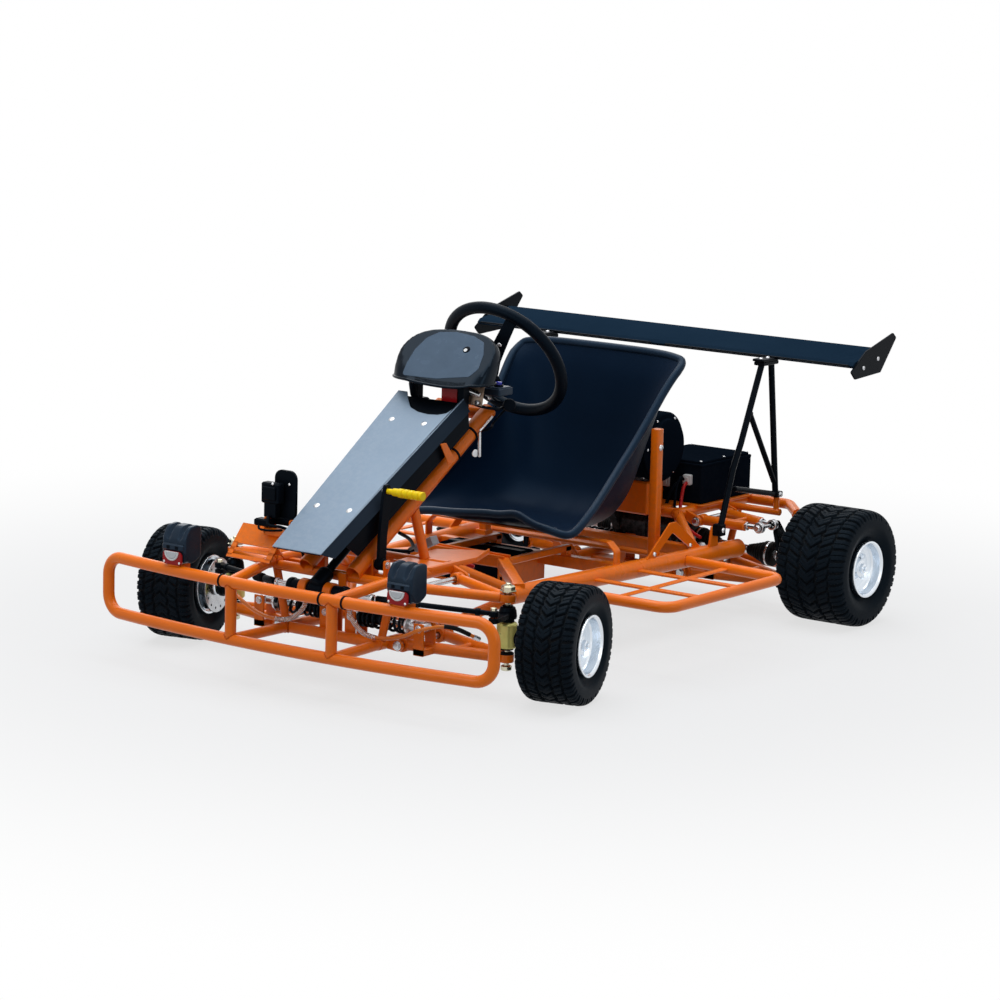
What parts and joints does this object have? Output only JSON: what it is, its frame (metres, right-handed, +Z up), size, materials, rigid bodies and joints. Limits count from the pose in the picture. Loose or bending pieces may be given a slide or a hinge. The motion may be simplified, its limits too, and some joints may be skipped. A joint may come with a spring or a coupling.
{
  "type": "electric go-kart",
  "caption": "Off-road style electric go-kart with orange tube frame, coil-over suspension, bucket seat, grey front panel, rear wing and fat treaded tyres.",
  "frame": {"origin": "on the ground, at the middle of the kart's overall length and width", "axes": "+Y is to the rear, -Y is the nose, +X is the driver's left, +Z is up"},
  "size_m": [1.19, 1.6204, 0.7792],
  "materials": {
    "frame_paint": "gloss orange powder coat",
    "seat_plastic": "matt dark blue-black",
    "grey_panel": "satin dark slate grey sheet",
    "black_plastic": "satin black",
    "black_tube": "satin black paint",
    "black_box": "black anodised",
    "wheel_grip": "grained black grip",
    "bare_steel": "satin bright",
    "zinc_plate": "yellow zinc plate",
    "cast_alloy": "bright machined alloy",
    "tyre_rubber": "black tread rubber",
    "blue_plastic": "gloss blue",
    "spring_coat": "satin black coated wire",
    "orange_hose": "orange hose cover"
  },
  "bodies": {
    "chassis": {"main_frame": "frame_paint", "front_bumper": "frame_paint", "seat": "seat_plastic", "fairing_panel": "grey_panel", "instrument_pod": "black_plastic", "wing": "black_plastic", "wing_stay_left": "black_tube", "wing_stay_right": "black_tube", "battery_box": "black_plastic", "controller_box": "black_box", "motor": "black_box", "headlamp_left": "black_plastic", "headlamp_right": "black_plastic", "rack_housing": "black_box", "brake_hose_left": "orange_hose", "brake_hose_right": "orange_hose"},
    "steering": {"steering_wheel": "wheel_grip", "steering_shaft": "bare_steel"},
    "rack": {"rack_bar": "bare_steel"},
    "start_button": {"start_button": "blue_plastic"},
    "brake_pedal": {"brake_pedal": "black_tube"},
    "throttle_pedal": {"throttle_pedal": "black_tube"},
    "front_lower_arm_left": {"front_lower_arm_left": "frame_paint"},
    "front_upper_arm_left": {"front_upper_arm_left": "frame_paint"},
    "kingpin_left": {"kingpin_left": "zinc_plate"},
    "knuckle_left": {"knuckle_left": "zinc_plate"},
    "front_wheel_left": {"front_rim_left": "cast_alloy", "front_tyre_left": "tyre_rubber"},
    "tie_rod_left": {"tie_rod_left": "bare_steel"},
    "front_shock_body_left": {"front_shock_body_left": "black_tube", "front_spring_left": "spring_coat"},
    "front_shock_rod_left": {"front_shock_rod_left": "bare_steel"},
    "rear_lower_arm_left": {"rear_lower_arm_left": "frame_paint"},
    "rear_upper_arm_left": {"rear_upper_arm_left": "frame_paint"},
    "hub_carrier_left": {"hub_carrier_left": "zinc_plate"},
    "rear_wheel_left": {"rear_rim_left": "cast_alloy", "rear_tyre_left": "tyre_rubber"},
    "drive_shaft_left": {"drive_shaft_left": "bare_steel"},
    "rear_shock_body_left": {"rear_shock_body_left": "black_tube", "rear_spring_left": "spring_coat"},
    "rear_shock_rod_left": {"rear_shock_rod_left": "bare_steel"},
    "front_lower_arm_right": {"front_lower_arm_right": "frame_paint"},
    "front_upper_arm_right": {"front_upper_arm_right": "frame_paint"},
    "kingpin_right": {"kingpin_right": "zinc_plate"},
    "knuckle_right": {"knuckle_right": "zinc_plate"},
    "front_wheel_right": {"front_rim_right": "cast_alloy", "front_tyre_right": "tyre_rubber"},
    "tie_rod_right": {"tie_rod_right": "bare_steel"},
    "front_shock_body_right": {"front_shock_body_right": "black_tube", "front_spring_right": "spring_coat"},
    "front_shock_rod_right": {"front_shock_rod_right": "bare_steel"},
    "rear_lower_arm_right": {"rear_lower_arm_right": "frame_paint"},
    "rear_upper_arm_right": {"rear_upper_arm_right": "frame_paint"},
    "hub_carrier_right": {"hub_carrier_right": "zinc_plate"},
    "rear_wheel_right": {"rear_rim_right": "cast_alloy", "rear_tyre_right": "tyre_rubber"},
    "drive_shaft_right": {"drive_shaft_right": "bare_steel"},
    "rear_shock_body_right": {"rear_shock_body_right": "black_tube", "rear_spring_right": "spring_coat"},
    "rear_shock_rod_right": {"rear_shock_rod_right": "bare_steel"}
  },
  "joints": [
    {"name": "steer", "type": "hinge", "parent": "chassis", "child": "steering", "pos_m": [0, -0.00775, 0.641], "axis": [0, 0.8434, 0.5373], "range_deg": [-394.5, 158.5]},
    {"name": "rack_slide", "type": "slide", "parent": "chassis", "child": "rack", "axis": [1, 0, 0], "range_m": [-0.0537, 0.0217]},
    {"name": "start_press", "type": "slide", "parent": "chassis", "child": "start_button", "axis": [0, 0, -1], "range_m": [0, 0.003], "stiffness_N_per_m": 500, "springref_m": -0.001},
    {"name": "brake", "type": "hinge", "parent": "chassis", "child": "brake_pedal", "pos_m": [0.102, -0.58275, 0.262], "axis": [1, 0, 0], "range_deg": [0, 15], "stiffness_Nm_per_rad": 8, "springref_deg": -6.88},
    {"name": "throttle", "type": "hinge", "parent": "chassis", "child": "throttle_pedal", "pos_m": [-0.126, -0.62975, 0.332], "axis": [1, 0, 0], "range_deg": [0, 20], "stiffness_Nm_per_rad": 5, "springref_deg": -6.88},
    {"name": "front_travel_left", "type": "hinge", "parent": "chassis", "child": "front_lower_arm_left", "pos_m": [0.165, -0.49775, 0.095], "axis": [0, -1, 0], "range_deg": [-6, 6], "stiffness_Nm_per_rad": 3200, "springref_deg": -1.37, "deforming": ["brake_hose_left"]},
    {"name": "front_upper_left", "type": "hinge", "parent": "chassis", "child": "front_upper_arm_left", "pos_m": [0.205, -0.49775, 0.225], "axis": [0, -1, 0], "range_deg": [-7.6, 7.6]},
    {"name": "kingpin_tilt_left", "type": "hinge", "parent": "front_lower_arm_left", "child": "kingpin_left", "pos_m": [0.38, -0.49775, 0.085], "axis": [0, -1, 0], "range_deg": [-6.2, 6.2]},
    {"name": "wheel_steer_left", "type": "hinge", "parent": "kingpin_left", "child": "knuckle_left", "pos_m": [0.38, -0.49775, 0.129], "axis": [0, 0, 1], "range_deg": [-43, 17.4]},
    {"name": "front_roll_left", "type": "hinge", "parent": "knuckle_left", "child": "front_wheel_left", "pos_m": [0.50212, -0.45975, 0.129], "axis": [0.9751, 0.2215, 0], "continuous": true},
    {"name": "tie_rod_left", "type": "hinge", "parent": "rack", "child": "tie_rod_left", "pos_m": [0.15112, -0.66775, 0.205], "axis": [0, -1, 0], "range_deg": [-5.6, 5.6]},
    {"name": "front_shock_swing_left", "type": "hinge", "parent": "chassis", "child": "front_shock_body_left", "pos_m": [0.035, -0.57975, 0.14], "axis": [0, -1, 0], "range_deg": [-2, 2]},
    {"name": "front_shock_stroke_left", "type": "slide", "parent": "front_shock_body_left", "child": "front_shock_rod_left", "axis": [1, 0, 0], "range_m": [-0.0049, 0.0049], "deforming": ["front_spring_left"]},
    {"name": "rear_shock_swing_left", "type": "hinge", "parent": "chassis", "child": "rear_shock_body_left", "pos_m": [0.035, 0.55725, 0.14], "axis": [0, -1, 0], "range_deg": [-2, 2]},
    {"name": "rear_shock_stroke_left", "type": "slide", "parent": "rear_shock_body_left", "child": "rear_shock_rod_left", "axis": [1, 0, 0], "range_m": [-0.0049, 0.0049], "deforming": ["rear_spring_left"]},
    {"name": "rear_travel_left", "type": "hinge", "parent": "chassis", "child": "rear_lower_arm_left", "pos_m": [0.165, 0.65225, 0.095], "axis": [0, -1, 0], "range_deg": [-6, 6], "stiffness_Nm_per_rad": 3200, "springref_deg": -1.52},
    {"name": "rear_upper_left", "type": "hinge", "parent": "chassis", "child": "rear_upper_arm_left", "pos_m": [0.205, 0.65225, 0.225], "axis": [0, -1, 0], "range_deg": [-7.6, 7.6]},
    {"name": "carrier_tilt_left", "type": "hinge", "parent": "rear_lower_arm_left", "child": "hub_carrier_left", "pos_m": [0.372, 0.65225, 0.08], "axis": [0, -1, 0], "range_deg": [-6.2, 6.2]},
    {"name": "rear_roll_left", "type": "hinge", "parent": "hub_carrier_left", "child": "rear_wheel_left", "pos_m": [0.5045, 0.65225, 0.139], "axis": [1, 0, 0], "continuous": true},
    {"name": "drive_shaft_swing_left", "type": "hinge", "parent": "chassis", "child": "drive_shaft_left", "pos_m": [0.1085, 0.65225, 0.15], "axis": [0, -1, 0], "range_deg": [-5.7, 5.7]},
    {"name": "front_travel_right", "type": "hinge", "parent": "chassis", "child": "front_lower_arm_right", "pos_m": [-0.165, -0.49775, 0.095], "axis": [0, 1, 0], "range_deg": [-6, 6], "stiffness_Nm_per_rad": 3200, "springref_deg": -1.37, "deforming": ["brake_hose_right"]},
    {"name": "front_upper_right", "type": "hinge", "parent": "chassis", "child": "front_upper_arm_right", "pos_m": [-0.205, -0.49775, 0.225], "axis": [0, 1, 0], "range_deg": [-7.6, 7.6]},
    {"name": "kingpin_tilt_right", "type": "hinge", "parent": "front_lower_arm_right", "child": "kingpin_right", "pos_m": [-0.38, -0.49775, 0.085], "axis": [0, 1, 0], "range_deg": [-6.2, 6.2]},
    {"name": "wheel_steer_right", "type": "hinge", "parent": "kingpin_right", "child": "knuckle_right", "pos_m": [-0.38, -0.49775, 0.129], "axis": [0, 0, 1], "range_deg": [-43, 17.4]},
    {"name": "front_roll_right", "type": "hinge", "parent": "knuckle_right", "child": "front_wheel_right", "pos_m": [-0.50655, -0.51625, 0.129], "axis": [0.9751, 0.2215, 0], "continuous": true},
    {"name": "tie_rod_right", "type": "hinge", "parent": "rack", "child": "tie_rod_right", "pos_m": [-0.11788, -0.66775, 0.205], "axis": [0, 1, 0], "range_deg": [-5.6, 5.6]},
    {"name": "front_shock_swing_right", "type": "hinge", "parent": "chassis", "child": "front_shock_body_right", "pos_m": [-0.035, -0.57975, 0.14], "axis": [0, 1, 0], "range_deg": [-2, 2]},
    {"name": "front_shock_stroke_right", "type": "slide", "parent": "front_shock_body_right", "child": "front_shock_rod_right", "axis": [-1, 0, 0], "range_m": [-0.0049, 0.0049], "deforming": ["front_spring_right"]},
    {"name": "rear_shock_swing_right", "type": "hinge", "parent": "chassis", "child": "rear_shock_body_right", "pos_m": [-0.035, 0.55725, 0.14], "axis": [0, 1, 0], "range_deg": [-2, 2]},
    {"name": "rear_shock_stroke_right", "type": "slide", "parent": "rear_shock_body_right", "child": "rear_shock_rod_right", "axis": [-1, 0, 0], "range_m": [-0.0049, 0.0049], "deforming": ["rear_spring_right"]},
    {"name": "rear_travel_right", "type": "hinge", "parent": "chassis", "child": "rear_lower_arm_right", "pos_m": [-0.165, 0.65225, 0.095], "axis": [0, 1, 0], "range_deg": [-6, 6], "stiffness_Nm_per_rad": 3200, "springref_deg": -1.52},
    {"name": "rear_upper_right", "type": "hinge", "parent": "chassis", "child": "rear_upper_arm_right", "pos_m": [-0.205, 0.65225, 0.225], "axis": [0, 1, 0], "range_deg": [-7.6, 7.6]},
    {"name": "carrier_tilt_right", "type": "hinge", "parent": "rear_lower_arm_right", "child": "hub_carrier_right", "pos_m": [-0.372, 0.65225, 0.08], "axis": [0, 1, 0], "range_deg": [-6.2, 6.2]},
    {"name": "rear_roll_right", "type": "hinge", "parent": "hub_carrier_right", "child": "rear_wheel_right", "pos_m": [-0.5045, 0.65225, 0.139], "axis": [1, 0, 0], "continuous": true},
    {"name": "drive_shaft_swing_right", "type": "hinge", "parent": "chassis", "child": "drive_shaft_right", "pos_m": [-0.1085, 0.65225, 0.15], "axis": [0, 1, 0], "range_deg": [-5.7, 5.7]}
  ],
  "couplings": [
    {"joint": "rack_slide", "follows": "steer", "m_per_rad": 0.00777},
    {"joint": "front_upper_left", "follows": "front_travel_left", "ratio": 1.2286},
    {"joint": "kingpin_tilt_left", "follows": "front_travel_left", "ratio": -1},
    {"joint": "wheel_steer_left", "follows": "steer", "ratio": 0.1085},
    {"joint": "tie_rod_left", "follows": "front_travel_left", "ratio": 0.88},
    {"joint": "front_shock_swing_left", "follows": "front_travel_left", "ratio": 0.30481},
    {"joint": "front_shock_stroke_left", "follows": "front_travel_left", "m_per_rad": -0.045},
    {"joint": "rear_shock_swing_left", "follows": "rear_travel_left", "ratio": 0.30481},
    {"joint": "rear_shock_stroke_left", "follows": "rear_travel_left", "m_per_rad": -0.045},
    {"joint": "rear_upper_left", "follows": "rear_travel_left", "ratio": 1.2395},
    {"joint": "carrier_tilt_left", "follows": "rear_travel_left", "ratio": -1},
    {"joint": "drive_shaft_swing_left", "follows": "rear_travel_left", "ratio": 0.914},
    {"joint": "front_upper_right", "follows": "front_travel_right", "ratio": 1.2286},
    {"joint": "kingpin_tilt_right", "follows": "front_travel_right", "ratio": -1},
    {"joint": "wheel_steer_right", "follows": "steer", "ratio": 0.1085},
    {"joint": "tie_rod_right", "follows": "front_travel_right", "ratio": 0.88},
    {"joint": "front_shock_swing_right", "follows": "front_travel_right", "ratio": 0.30481},
    {"joint": "front_shock_stroke_right", "follows": "front_travel_right", "m_per_rad": -0.045},
    {"joint": "rear_shock_swing_right", "follows": "rear_travel_right", "ratio": 0.30481},
    {"joint": "rear_shock_stroke_right", "follows": "rear_travel_right", "m_per_rad": -0.045},
    {"joint": "rear_upper_right", "follows": "rear_travel_right", "ratio": 1.2395},
    {"joint": "carrier_tilt_right", "follows": "rear_travel_right", "ratio": -1},
    {"joint": "drive_shaft_swing_right", "follows": "rear_travel_right", "ratio": 0.914}
  ]
}
